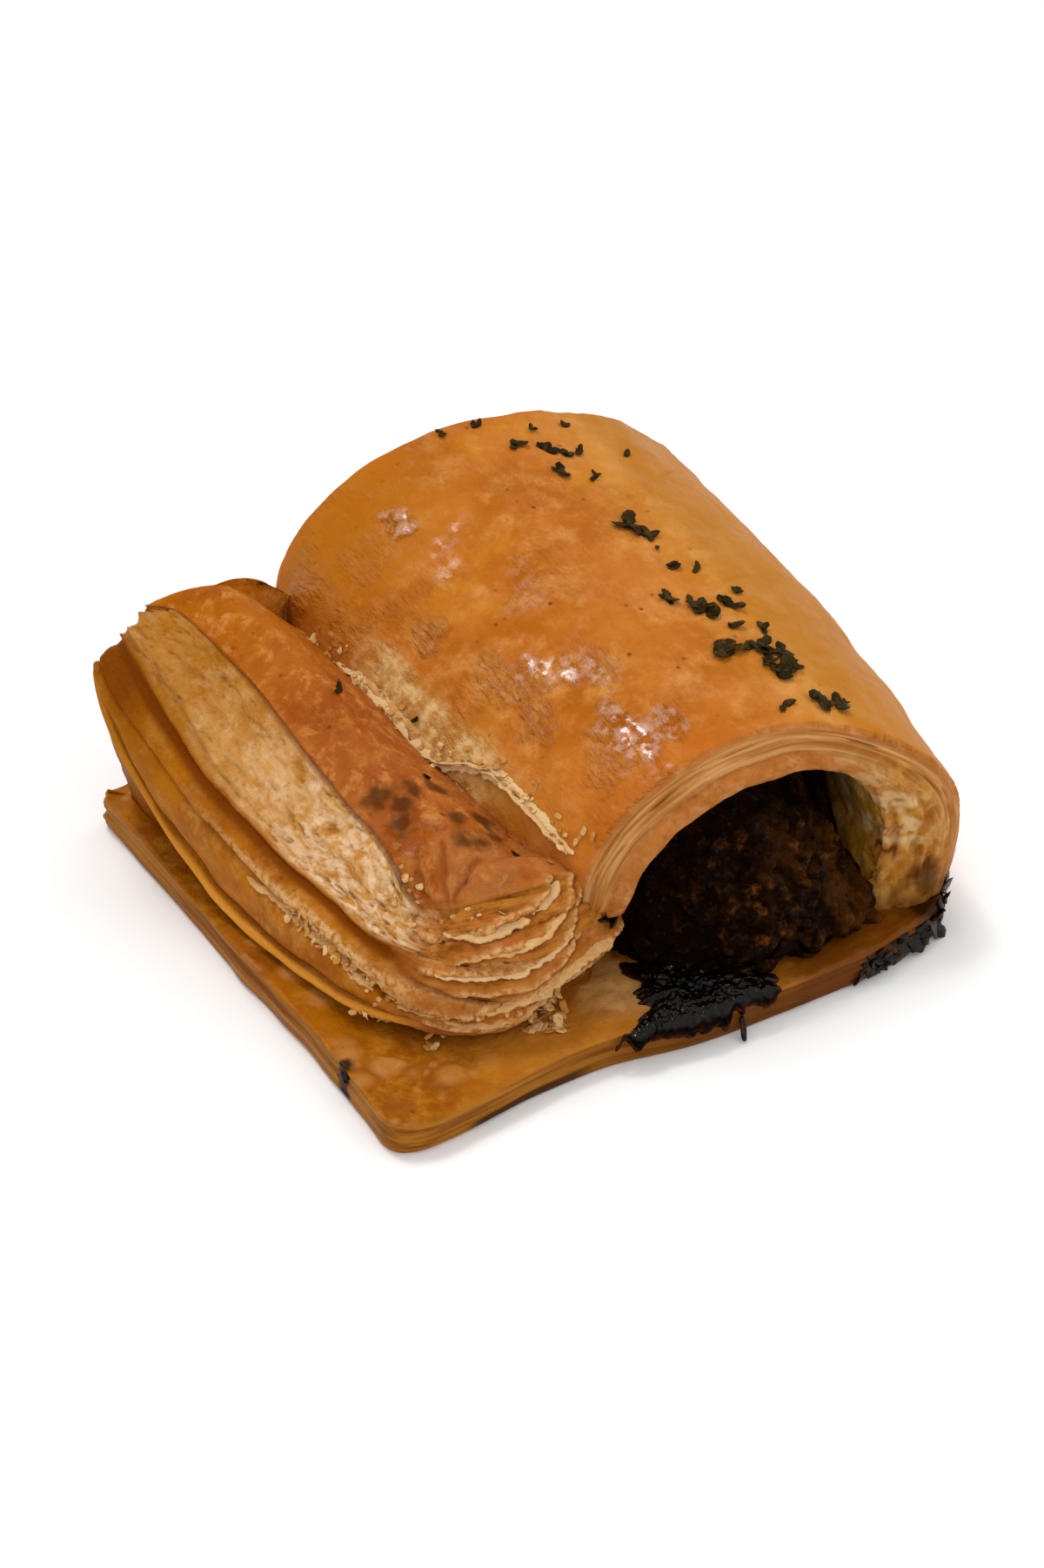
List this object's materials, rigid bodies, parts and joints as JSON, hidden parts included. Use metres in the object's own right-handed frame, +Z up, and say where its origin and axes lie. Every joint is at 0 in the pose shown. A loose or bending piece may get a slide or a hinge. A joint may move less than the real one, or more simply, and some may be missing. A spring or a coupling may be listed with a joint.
{
  "type": "sausage roll",
  "caption": "Baked sausage roll: puff pastry wrapped over a log of minced meat that shows at both cut ends, with a flaky flap laid down beside it.",
  "frame": {"origin": "bottom centre of the whole roll, on the surface it lies on", "axes": "+X across the roll, from the flap towards the rounded side; +Y along the roll, from the front cut to the back cut; +Z up"},
  "size_m": [0.1064, 0.0886, 0.0505],
  "materials": {
    "pastry": "baked puff pastry, egg-washed and satin on top, dry and flaky at its cut edges",
    "filling": "browned minced meat, coarse, with a few wet highlights",
    "burnt_juice": "burnt black, bubbled and glossy",
    "herbs": "dried, dark green to brown",
    "crumbs": "dry and matte"
  },
  "bodies": {
    "root": {"pastry": "pastry", "filling": "filling"}
  },
  "joints": []
}
